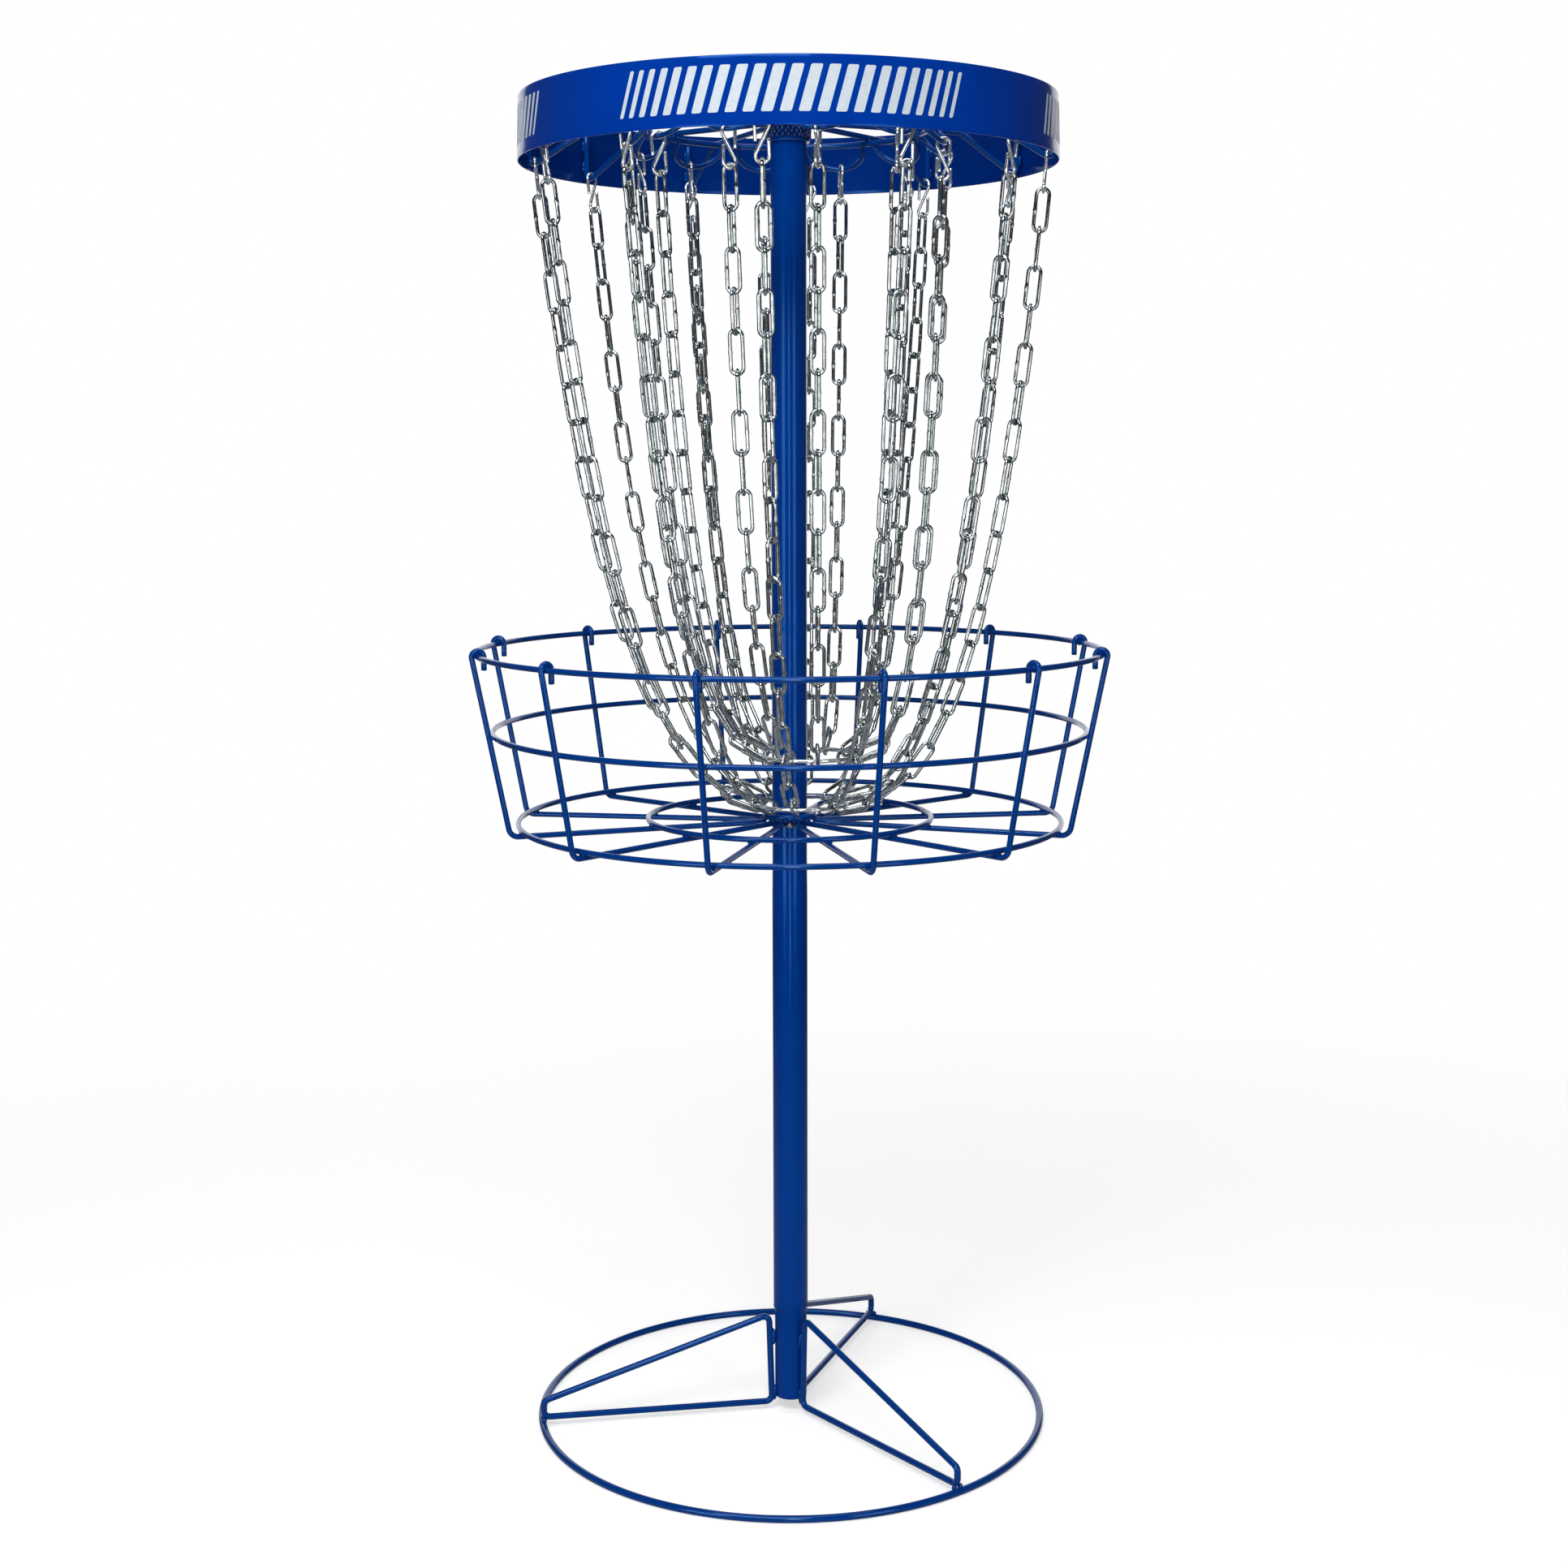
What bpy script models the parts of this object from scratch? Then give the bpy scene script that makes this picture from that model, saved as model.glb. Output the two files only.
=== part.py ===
"""Portable disc golf basket: wire foot, pole, catching basket, band and hanging chains.

Units are metres and +Z is up. The origin is on the floor, at the middle of the foot, on the pole's axis.
Every wire, ring, tube and chain is its own object; welded neighbours keep a small gap to each other.
"""

import math

import bmesh
import bpy
from mathutils import Matrix, Vector

# ---- clearances ------------------------------------------------------------------------------
GAP = 0.0003                     # gap between pieces that are welded or rest on each other

# ---- foot ------------------------------------------------------------------------------------
FOOT_RING_RADIUS = 0.275         # middle of the wire
FOOT_WIRE = 0.0038               # radius of the ring's wire
STUB_RADIUS = 0.0175             # 35 mm tube that the pole is pushed on
STUB_WALL = 0.0015
STUB_BOTTOM = 0.0160
LEG_WIRE = 0.0035                # radius of the 7 mm wire of the leg loops
LEG_LEAN = 0.0030                # how much further from the stub a leg stands at its top
LEG_TOP = 0.1135                 # middle of the wire at the top of a leg loop
LEG_BOTTOM = 0.0088              # middle of the lower bar, at the stub
LEG_REACH = 0.2745               # distance from the axis of a leg's outer end, on top of the ring
LEG_OUTER_TOP = 0.0295           # middle of the upper bar, at the ring
LEG_BEND = 0.0068                # bend radius of the leg loops
LEG_ANGLES = (68.8, 190.5, 308.0)

# ---- pole ------------------------------------------------------------------------------------
POLE_RADIUS = 0.01880
POLE_WALL = 0.00100
POLE_BOTTOM = 0.1175
POLE_TOP = 1.3950
STUB_TOP = POLE_BOTTOM + 0.100   # the stub reaches 100 mm up inside the pole

# ---- basket ----------------------------------------------------------------------------------
WIRE = 0.0030                    # radius of the 6 mm wire of the basket and the top frame
RIM_RADIUS = 0.3300
RIM_HEIGHT = 0.8448
MIDDLE_RADIUS = 0.3138
MIDDLE_HEIGHT = 0.7611
FLOOR_RADIUS = 0.28875
INNER_RADIUS = 0.1510
FLOOR_HEIGHT = 0.6570            # middle of the radial floor wires, where they meet the side
CENTRE_HEIGHT = 0.6612           # middle of the radial floor wires, at the collar
WIRE_START = 0.0270              # distance from the axis of a floor wire's inner end
CORNER_BEND = 0.0100
HOOK_TAIL = 0.0130               # how far the hooked end reaches below the rim's middle
COLLAR_RADIUS = 0.0255
COLLAR_WIRE = 0.0035
WIRE_COUNT = 12
BASKET_TURN = 15.0               # angle of the first basket wire

# ---- bolt under the collar -------------------------------------------------------------------
COLLAR_HEIGHT = CENTRE_HEIGHT + WIRE + COLLAR_WIRE + GAP
BOLT_RADIUS = 0.0025
BOLT_HEAD_RADIUS = 0.0045        # from the axis to the corners of the hexagon
BOLT_HEAD = 0.0062               # thickness of the head with its washers, and of the nut
BOLT_HOLE = 0.0028
BOLT_TIP = 0.0265
BOLT_HEIGHT = COLLAR_HEIGHT - COLLAR_WIRE - BOLT_HEAD_RADIUS - GAP

# ---- top -------------------------------------------------------------------------------------
BAND_RADIUS_BOTTOM = 0.2770
BAND_RADIUS_TOP = 0.2750
BAND_BOTTOM = 1.3444
BAND_TOP = 1.4072
BAND_SHEET = 0.0010
HUB_RADIUS = 0.0210
HUB_BORE = 0.0193
HUB_BOTTOM = 1.3655
HUB_TOP = 1.3980
SPOKE_HEIGHT = 1.3870
SPOKE_KNEE = 0.2000              # where a spoke starts to drop
SPOKE_VALLEY_RADIUS = 0.2640
SPOKE_VALLEY_HEIGHT = 1.3490
SPOKE_END_HEIGHT = 1.3940
SPOKE_TURN = -5.4
HANGER_RADIUS = 0.1480
HANGER_HEIGHT = SPOKE_HEIGHT - 2 * WIRE - GAP
LOOP_WIRE = 0.0025
LOOP_HALF_ANGLE = 12.0
LOOP_REACH = 0.0180              # how far a loop leans out from the hanger ring
LOOP_DROP = 0.0227               # how far a loop hangs below the hanger ring

# ---- chains ----------------------------------------------------------------------------------
LINK_PITCH = 0.0390
HOOK_LENGTH = 0.0314             # from the wire that carries a hook to the first link
CHAIN_CORE = 0.0037              # radius of the plain tube that stands for a chain
RING_WIRE = 0.0022
OUTER_LINKS = 18
INNER_LINKS = 16
OUTER_RING = (0.0120, 0.0, 0.6800, 0.0490)   # x, y, z and radius of the loose ring
INNER_RING = (0.0210, 0.0, 0.7320, 0.0520)
CHAIN_POINTS = 15


def clear_scene():
    """Remove everything that a new file starts with."""
    for obj in list(bpy.data.objects):
        bpy.data.objects.remove(obj, do_unlink=True)


def make_material(name, colour, roughness, metallic):
    """Return a Principled material."""
    material = bpy.data.materials.new(name)
    material.use_nodes = True
    shader = material.node_tree.nodes["Principled BSDF"]
    shader.inputs["Base Color"].default_value = (*colour, 1.0)
    shader.inputs["Roughness"].default_value = roughness
    shader.inputs["Metallic"].default_value = metallic
    return material


def add_mesh(name, bm, material):
    """Turn a bmesh into a named object with smooth round faces."""
    bmesh.ops.recalc_face_normals(bm, faces=bm.faces)
    mesh = bpy.data.meshes.new(name)
    bm.to_mesh(mesh)
    bm.free()
    mesh.shade_smooth()
    mesh.set_sharp_from_angle(angle=math.radians(50))
    mesh.materials.append(material)
    obj = bpy.data.objects.new(name, mesh)
    bpy.context.collection.objects.link(obj)
    return obj


def polar(radius, degrees, height):
    """Return a point given by its distance from the axis, its direction and its height."""
    angle = math.radians(degrees)
    return Vector((radius * math.cos(angle), radius * math.sin(angle), height))


def lathe(name, profile, steps, material, start=0.0, closed=True):
    """Turn a profile of (radius, height) points round the Z axis."""
    bm = bmesh.new()
    verts = [bm.verts.new((radius, 0.0, height)) for radius, height in profile]
    edges = [bm.edges.new(pair) for pair in zip(verts, verts[1:])]
    if closed:
        edges.append(bm.edges.new((verts[-1], verts[0])))
    bmesh.ops.spin(bm, geom=verts + edges, axis=(0, 0, 1), cent=(0, 0, 0), steps=steps,
                   angle=math.tau, use_merge=True)
    bmesh.ops.remove_doubles(bm, verts=bm.verts, dist=0.00001)
    bmesh.ops.rotate(bm, verts=bm.verts, cent=(0, 0, 0), matrix=Matrix.Rotation(math.radians(start), 3, "Z"))
    return add_mesh(name, bm, material)


def wire_ring(name, radius, height, wire, sides, steps, material, start=0.0):
    """Make a closed ring of round wire with a flat facet underneath."""
    corner = wire / math.cos(math.pi / sides)
    turns = [math.tau * (k + 0.5) / sides - math.pi / 2 for k in range(sides)]
    profile = [(radius + corner * math.cos(turn), height + corner * math.sin(turn)) for turn in turns]
    return lathe(name, profile, steps, material, start=start)


def bent_wire(name, points, wire, material, sides_level=1, closed=False):
    """Make a wire along points as a bevelled curve; a level of 1 gives six sides and 2 gives eight."""
    curve = bpy.data.curves.new(name, "CURVE")
    curve.dimensions = "3D"
    curve.bevel_depth = wire
    curve.bevel_resolution = sides_level
    curve.use_fill_caps = True
    spline = curve.splines.new("POLY")
    spline.points.add(len(points) - 1)
    for spot, point in zip(spline.points, points):
        spot.co = (*point, 1.0)
    spline.use_cyclic_u = closed
    spline.use_smooth = True
    curve.materials.append(material)
    obj = bpy.data.objects.new(name, curve)
    bpy.context.collection.objects.link(obj)
    return obj


def rounded(corners, bend, steps=4, closed=False):
    """Return the path through (radius, height) corners with each corner rounded by an arc."""
    path = []
    count = len(corners)
    for index, corner in enumerate(corners):
        if not closed and index in (0, count - 1):
            path.append(corner)
            continue
        here = Vector(corner)
        before = (Vector(corners[index - 1]) - here).normalized()
        after = (Vector(corners[(index + 1) % count]) - here).normalized()
        half = before.angle(after) / 2
        setback = bend / math.tan(half)
        centre = here + (before + after).normalized() * (bend / math.sin(half))
        first = here + before * setback - centre
        last = here + after * setback - centre
        for step in range(steps + 1):
            path.append(tuple(centre + first.slerp(last, step / steps) * bend))
    return path


def radial(path, degrees):
    """Place a path of (radius, height) points in the upright plane at an angle round the axis."""
    return [polar(radius, degrees, height) for radius, height in path]


def merge(target, tools):
    """Weld tool objects into the target with one Boolean union for each of them."""
    for tool in tools:
        tool.hide_render = True
        tool.display_type = "WIRE"
        union = target.modifiers.new("Weld " + tool.name, "BOOLEAN")
        union.operation = "UNION"
        union.solver = "EXACT"
        union.object = tool


def joined_mesh(name, curves, material):
    """Collect separate curve tubes in one mesh object and remove the curves."""
    bm = bmesh.new()
    depsgraph = bpy.context.evaluated_depsgraph_get()
    for curve in curves:
        mesh = bpy.data.meshes.new_from_object(curve.evaluated_get(depsgraph))
        bm.from_mesh(mesh)
        bpy.data.meshes.remove(mesh)
        bpy.data.objects.remove(curve, do_unlink=True)
    bmesh.ops.remove_doubles(bm, verts=bm.verts, dist=0.00001)
    return add_mesh(name, bm, material)


def build_foot(blue):
    """Ground ring, stub tube and three triangular leg loops."""
    wire_ring("base_ring", FOOT_RING_RADIUS, FOOT_WIRE, FOOT_WIRE, 8, 36, blue)
    inner = STUB_RADIUS - STUB_WALL
    lathe("base_stub", [(inner, STUB_BOTTOM), (STUB_RADIUS, STUB_BOTTOM), (STUB_RADIUS, STUB_TOP),
                        (inner, STUB_TOP)], 24, blue)
    near = STUB_RADIUS + LEG_WIRE + GAP
    toe = 2 * FOOT_WIRE + LEG_WIRE + GAP
    corners = [(near + LEG_LEAN, LEG_TOP), (near, LEG_BOTTOM), (LEG_REACH, toe), (LEG_REACH, LEG_OUTER_TOP)]
    path = rounded(corners, LEG_BEND, steps=3, closed=True)
    for number, angle in enumerate(LEG_ANGLES, start=1):
        bent_wire(f"base_leg_{number}", radial(path, angle), LEG_WIRE, blue, closed=True)


def build_pole(blue, zinc):
    """Pole with a cross hole, and the bolt and nut that carry the basket."""
    inner = POLE_RADIUS - POLE_WALL
    pole = lathe("pole", [(inner, POLE_BOTTOM), (POLE_RADIUS, POLE_BOTTOM), (POLE_RADIUS, POLE_TOP),
                          (inner, POLE_TOP)], 24, blue, start=7.5)
    bpy.ops.mesh.primitive_cylinder_add(vertices=12, radius=BOLT_HOLE, depth=0.06,
                                        location=(0, 0, BOLT_HEIGHT), rotation=(math.pi / 2, 0, 0))
    cutter = bpy.context.object
    cutter.name = "bolt_hole_cutter"
    cutter.hide_render = True
    cutter.display_type = "WIRE"
    hole = pole.modifiers.new("Bolt hole", "BOOLEAN")
    hole.operation = "DIFFERENCE"
    hole.solver = "EXACT"
    hole.object = cutter

    seat = POLE_RADIUS + GAP
    bolt = lathe("basket_bolt", [(0.0, -seat - BOLT_HEAD), (BOLT_HEAD_RADIUS, -seat - BOLT_HEAD),
                                 (BOLT_HEAD_RADIUS, -seat), (BOLT_RADIUS, -seat),
                                 (BOLT_RADIUS, BOLT_TIP), (0.0, BOLT_TIP)], 6, zinc, closed=False)
    nut = lathe("basket_bolt_nut", [(BOLT_RADIUS + GAP, seat), (BOLT_HEAD_RADIUS, seat),
                                    (BOLT_HEAD_RADIUS, seat + BOLT_HEAD),
                                    (BOLT_RADIUS + GAP, seat + BOLT_HEAD)], 6, zinc)
    for piece in (bolt, nut):
        piece.rotation_euler = (-math.pi / 2, 0, 0)
        piece.location = (0, 0, BOLT_HEIGHT)


def side_radius(height):
    """Distance of a basket wire's side run from the axis at a height."""
    low = (MIDDLE_HEIGHT, MIDDLE_RADIUS + 2 * WIRE + GAP)
    high = (RIM_HEIGHT, RIM_RADIUS + 2 * WIRE + GAP)
    return low[1] + (high[1] - low[1]) * (height - low[0]) / (high[0] - low[0])


def floor_height(radius):
    """Height of the radial floor wires, which rise a little towards the collar."""
    outer = side_radius(FLOOR_HEIGHT)
    return FLOOR_HEIGHT + (CENTRE_HEIGHT - FLOOR_HEIGHT) * (outer - radius) / (outer - WIRE_START)


def basket_wire_path():
    """Path of one basket wire: along the floor, up the side and over the rim."""
    start = (WIRE_START, CENTRE_HEIGHT)
    corner = (side_radius(FLOOR_HEIGHT), FLOOR_HEIGHT)
    hook = 2 * WIRE + GAP
    path = rounded([start, corner, (RIM_RADIUS + hook, RIM_HEIGHT)], CORNER_BEND, steps=3)
    for step in range(1, 5):
        turn = math.pi * step / 4
        path.append((RIM_RADIUS + hook * math.cos(turn), RIM_HEIGHT + hook * math.sin(turn)))
    path.append((RIM_RADIUS - hook, RIM_HEIGHT - HOOK_TAIL))
    return path


def build_basket(blue):
    """Collar, twelve bent wires and four rings."""
    wire_ring("basket_collar", COLLAR_RADIUS, COLLAR_HEIGHT, COLLAR_WIRE, 6, 24, blue)
    path = basket_wire_path()
    for number in range(WIRE_COUNT):
        angle = BASKET_TURN + 360 * number / WIRE_COUNT
        bent_wire(f"basket_wire_{number + 1:02d}", radial(path, angle), WIRE, blue)
    on_wire = 2 * WIRE + GAP
    wire_ring("basket_rim_ring", RIM_RADIUS, RIM_HEIGHT, WIRE, 6, 48, blue)
    wire_ring("basket_middle_ring", MIDDLE_RADIUS, MIDDLE_HEIGHT, WIRE, 6, 48, blue)
    wire_ring("basket_floor_ring", FLOOR_RADIUS, floor_height(FLOOR_RADIUS) + on_wire, WIRE, 6, 48, blue)
    wire_ring("basket_inner_ring", INNER_RADIUS, floor_height(INNER_RADIUS) + on_wire, WIRE, 6, 24, blue,
              start=7.5)


def build_spider(blue):
    """Hub cap on the pole's end with twelve spokes that carry the band and the outer chains."""
    hub = lathe("top_spider", [(HUB_BORE, HUB_BOTTOM), (HUB_RADIUS, HUB_BOTTOM), (HUB_RADIUS, HUB_TOP),
                               (0.0, HUB_TOP), (0.0, POLE_TOP + GAP), (HUB_BORE, POLE_TOP + GAP)],
                24, blue)
    tail = band_inner_radius() - WIRE - GAP
    corners = [((HUB_BORE + HUB_RADIUS) / 2, SPOKE_HEIGHT), (SPOKE_KNEE, SPOKE_HEIGHT),
               (SPOKE_VALLEY_RADIUS, SPOKE_VALLEY_HEIGHT), (tail, SPOKE_VALLEY_HEIGHT),
               (tail, SPOKE_END_HEIGHT)]
    path = rounded(corners, WIRE, steps=2)
    spokes = [bent_wire(f"spoke_{number}", radial(path, SPOKE_TURN + 360 * number / WIRE_COUNT), WIRE, blue)
              for number in range(WIRE_COUNT)]
    merge(hub, [joined_mesh("spoke_set", spokes, blue)])


def band_inner_radius():
    """Smallest inner radius of the band, at its top edge."""
    return BAND_RADIUS_TOP - BAND_SHEET


def loop_path(middle):
    """Path of one U loop that hangs from the hanger ring and leans outwards."""
    points = []
    for step in range(11):
        turn = math.pi * step / 10
        points.append(polar(HANGER_RADIUS + LOOP_REACH * math.sin(turn),
                            middle + LOOP_HALF_ANGLE * math.cos(turn),
                            HANGER_HEIGHT - LOOP_DROP * math.sin(turn)))
    return points


def build_top(blue):
    """Band, spider and the hanger ring with its loops."""
    lathe("top_band", [(BAND_RADIUS_BOTTOM - BAND_SHEET, BAND_BOTTOM), (BAND_RADIUS_BOTTOM, BAND_BOTTOM),
                       (BAND_RADIUS_TOP, BAND_TOP), (BAND_RADIUS_TOP - BAND_SHEET, BAND_TOP)],
          60, blue, start=SPOKE_TURN)
    build_spider(blue)
    ring = wire_ring("inner_hanger_ring", HANGER_RADIUS, HANGER_HEIGHT, WIRE, 6, 36, blue)
    loops = [bent_wire(f"loop_{number}", loop_path(loop_angle(number)), LOOP_WIRE, blue)
             for number in range(WIRE_COUNT)]
    merge(ring, [joined_mesh("loop_set", loops, blue)])


def loop_angle(number):
    """Direction of a U loop: halfway between two spokes."""
    return SPOKE_TURN + 360 * (number + 0.5) / WIRE_COUNT


def hanging_curve(top, bottom, length):
    """Return points of a chain of a given length that hangs between two points, from top to bottom."""
    across = Vector((top[0] - bottom[0], top[1] - bottom[1]))
    span = across.length
    rise = top[2] - bottom[2]
    pull = math.sqrt(length ** 2 - rise ** 2)
    low, high = span / 40, 10.0
    for _ in range(80):
        size = math.sqrt(low * high)
        if 2 * size * math.sinh(span / (2 * size)) > pull:
            low = size
        else:
            high = size
    lowest = span / 2 - size * math.atanh(rise / length)
    points = []
    for step in range(CHAIN_POINTS):
        arc = length * (1 - step / (CHAIN_POINTS - 1))
        along = lowest + size * math.asinh(arc / size - math.sinh(lowest / size))
        height = size * (math.cosh((along - lowest) / size) - math.cosh(lowest / size))
        flat = across.normalized() * along
        points.append(Vector((bottom[0] + flat.x, bottom[1] + flat.y, bottom[2] + height)))
    return points


def build_chain_tier(name, ring, hang_radius, hang_height, links, first_angle, zinc):
    """A loose ring round the pole and the twelve chains that hold it."""
    centre = Vector(ring[:3])
    reach = ring[3] + RING_WIRE + 5 * GAP
    length = HOOK_LENGTH + links * LINK_PITCH
    for number in range(WIRE_COUNT):
        angle = first_angle + 360 * number / WIRE_COUNT
        top = polar(hang_radius, angle, hang_height)
        bottom = centre + polar(reach, angle, 0.0)
        bent_wire(f"{name}_chain_{number + 1:02d}", hanging_curve(top, bottom, length), CHAIN_CORE, zinc)
    loose = wire_ring(f"{name}_chain_ring", ring[3], 0.0, RING_WIRE, 6, 24, zinc)
    loose.location = centre


def build_chains(zinc):
    """Outer chains from the spokes' valleys and inner chains from the U loops."""
    build_chain_tier("outer", OUTER_RING, SPOKE_VALLEY_RADIUS,
                     SPOKE_VALLEY_HEIGHT - WIRE - 2 * GAP, OUTER_LINKS, SPOKE_TURN, zinc)
    build_chain_tier("inner", INNER_RING, HANGER_RADIUS + LOOP_REACH,
                     HANGER_HEIGHT - LOOP_DROP - LOOP_WIRE - 2 * GAP, INNER_LINKS, loop_angle(0), zinc)


def main():
    """Build every piece."""
    clear_scene()
    blue = make_material("blue_powder_coat", (0.010, 0.045, 0.320), 0.25, 0.0)
    zinc = make_material("zinc", (0.62, 0.63, 0.60), 0.28, 1.0)
    build_foot(blue)
    build_pole(blue, zinc)
    build_basket(blue)
    build_top(blue)
    build_chains(zinc)


main()
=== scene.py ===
"""Looks of the disc golf basket: fine wires, tubes, sheet band, linked chains, materials and studio."""

import math
import random

import bpy
import numpy as np
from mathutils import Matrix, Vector


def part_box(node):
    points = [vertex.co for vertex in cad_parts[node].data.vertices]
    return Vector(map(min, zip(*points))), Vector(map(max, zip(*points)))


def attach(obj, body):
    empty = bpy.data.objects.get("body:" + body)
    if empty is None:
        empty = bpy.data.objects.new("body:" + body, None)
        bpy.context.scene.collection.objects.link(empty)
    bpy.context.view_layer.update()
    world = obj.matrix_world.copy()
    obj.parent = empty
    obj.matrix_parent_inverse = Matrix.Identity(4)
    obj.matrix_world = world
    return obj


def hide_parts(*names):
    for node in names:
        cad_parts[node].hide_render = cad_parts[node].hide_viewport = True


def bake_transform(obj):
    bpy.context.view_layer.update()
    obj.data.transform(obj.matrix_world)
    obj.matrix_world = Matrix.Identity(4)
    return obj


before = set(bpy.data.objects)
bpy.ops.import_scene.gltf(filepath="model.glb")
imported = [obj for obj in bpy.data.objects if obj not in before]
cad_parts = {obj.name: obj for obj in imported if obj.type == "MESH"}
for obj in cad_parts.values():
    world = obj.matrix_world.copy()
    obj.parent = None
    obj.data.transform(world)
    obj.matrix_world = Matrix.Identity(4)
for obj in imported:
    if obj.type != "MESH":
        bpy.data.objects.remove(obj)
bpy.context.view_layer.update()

# ---- driving values, in metres unless the name says degrees ------------------------------------
GAP = 0.0003                     # gap that the frame keeps between touching pieces
WIRE = 0.0030                    # radius of the wire of the spokes and the hanger ring
LEG_WIRE = 0.0035                # radius of the wire of the legs
LOOP_WIRE = 0.0025               # radius of the wire of the hanger loops
SHEET = 0.0010                   # thickness of the band
FLOOR_WIRE_START = 0.0270        # distance from the axis of a floor wire's inner end
FLOOR_RISE = 0.0042              # how much higher a floor wire is at its inner end
CORNER_BEND = 0.0100             # bend of a basket wire between the floor and the side
HOOK_TAIL = 0.0130               # straight end of a basket wire, past its hook over the rim
LEG_BEND = 0.0068                # bends of a leg loop
LEG_LEAN = 0.0030                # how much further from the stub a leg stands at its top
LEG_TOE_TOP = 0.0295             # height of the upper bar of a leg at the ring
NUT_RADIUS = 0.0045              # from the axis of the nut to its corners
BOLT_HOLE = 0.0027               # radius of the hole in the nut
BOLT_SHANK = 0.00245             # radius of the bolt's thread at its crests
THREAD_DEPTH = 0.00014
WASHERS = (0.0037, 0.0034)       # radii of the washers under the bolt's head
HUB_REACH = 0.0215               # the hub cap is nearer to the axis than this, the spokes further
HUB_WALL = 0.0017                # wall of the hub cap
SPOKE_VALLEY = 0.2630            # distance from the axis at which a spoke's lowest stretch starts
SPOKE_KNEE = 0.2000              # distance from the axis at which a spoke turns down
SPOKE_BEND = 0.0045              # bends of a spoke
SPOKE_END_DROP = 0.0132          # a spoke's end below the band's top edge
LOOP_HALF_ANGLE_DEGREES = 12.0   # half of a hanger loop, seen from the axis
LINK_PITCH = 0.0390              # from one contact between two links to the next
LINK_WIRE = 0.0020               # radius of the wire of a link
LINK_HALF_WIDTH = 0.0065         # middle of the wire, from the link's own middle line
HOOK_WIRE = 0.0017               # radius of the wire of an S hook
HOOK_REACH = 0.0350              # from the wire that carries a hook to the first link's contact
HOOK_UPPER_BEND = 0.0068         # upper bend of a hook, to the middle of its wire
HOOK_LOWER_BEND = 0.0064         # lower bend of a hook, to the middle of its wire
HOOK_TIP = 0.0150                # straight end of a hook, past its bend
HOOK_SPLAY = 0.0004              # how far a hook's ends lean back towards its middle
HOOK_TWIST_DEGREES = {"outer": (0, 12), "inner": (24, 46)}  # least and most, either way
LINK_WOBBLE_DEGREES = 9          # most chance twist of one link
LINK_DRIFT_DEGREES = 14          # most chance twist of a strand's middle
OUTER_LINKS = 18                 # links in a strand of the outer tier
INNER_LINKS = 16                 # links in a strand of the inner tier
STRANDS = 12                     # strands in a tier; spokes, loops and basket wires are as many
PEEL_HEIGHT = 0.00002            # bumps of the blue coat and of the print
KNOCK_HEIGHT = 0.00003           # bumps of the zinc
CAMERA_PLACE = (-0.0060, -2.3768, 1.0447)
CAMERA_LENS = 51.60              # in millimetres on a sensor 36 mm wide
CAMERA_DIP_DEGREES = 8.232       # how far the camera looks down
CAMERA_ROLL_DEGREES = -0.14
WALL_LIGHT = 0.05                # brightness of the studio's unlit walls
FLOOR_HEIGHT = -0.0002           # just under the foot ring
FLOOR_REACH = 2.2                # radius of the floor
FLOOR_FADE_START = 0.5           # distance from the axis at which the floor starts to fade
FLOOR_WHITE = 0.93               # the floor's colour, where the camera looks straight at it
FLOOR_BOUNCE = 0.50              # how much light the floor throws back onto the object
FLOOR_LIFT = 0.46                # the floor's own brightness, where the camera looks straight at it


# ---- mesh helpers -------------------------------------------------------------------------------
class Shape:
    """Collects closed solids made of quads and turns them into one mesh object."""

    def __init__(self):
        self.verts = []
        self.faces = []
        self.count = 0

    def add(self, verts, faces):
        """Add one solid given as an array of points and a list of faces."""
        self.verts.append(np.asarray(verts, float))
        self.faces.extend(tuple(index + self.count for index in face) for face in faces)
        self.count += len(verts)

    def build(self, name, material, sharp_degrees=None):
        """Return the mesh object."""
        mesh = bpy.data.meshes.new(name)
        mesh.from_pydata(np.concatenate(self.verts).tolist(), [], self.faces)
        mesh.shade_smooth()
        if sharp_degrees:
            mesh.set_sharp_from_angle(angle=math.radians(sharp_degrees))
        mesh.materials.append(material)
        obj = bpy.data.objects.new(name, mesh)
        bpy.context.scene.collection.objects.link(obj)
        return obj


def grid_faces(rows, columns, wrap=False):
    """Return the quads between rings of points; with wrap, the last ring also joins the first."""
    faces = []
    for row in range(rows if wrap else rows - 1):
        here = row * columns
        there = (row + 1) % rows * columns
        for k in range(columns):
            nxt = (k + 1) % columns
            faces.append((here + k, there + k, there + nxt, here + nxt))
    return faces


def unit(vector):
    """Return a vector of length one."""
    return vector / np.linalg.norm(vector)


def transported(points, closed):
    """Return the tangents and a normal at every point that turn as little as possible."""
    if closed:
        tangents = np.roll(points, -1, axis=0) - np.roll(points, 1, axis=0)
    else:
        tangents = np.gradient(points, axis=0)
    tangents /= np.linalg.norm(tangents, axis=1)[:, None]
    start = np.cross(tangents[0], (0.31, 0.47, 0.83))
    normals = [unit(start)]
    for tangent in tangents[1:]:
        last = normals[-1]
        normals.append(unit(last - tangent * np.dot(last, tangent)))
    normals = np.array(normals)
    if closed:
        last = unit(normals[-1] - tangents[0] * np.dot(normals[-1], tangents[0]))
        side = np.cross(tangents[0], normals[0])
        twist = math.atan2(np.dot(last, side), np.dot(last, normals[0]))
        turns = -twist * np.arange(len(points)) / len(points)
        sides = np.cross(tangents, normals)
        normals = normals * np.cos(turns)[:, None] + sides * np.sin(turns)[:, None]
    return tangents, normals


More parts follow.
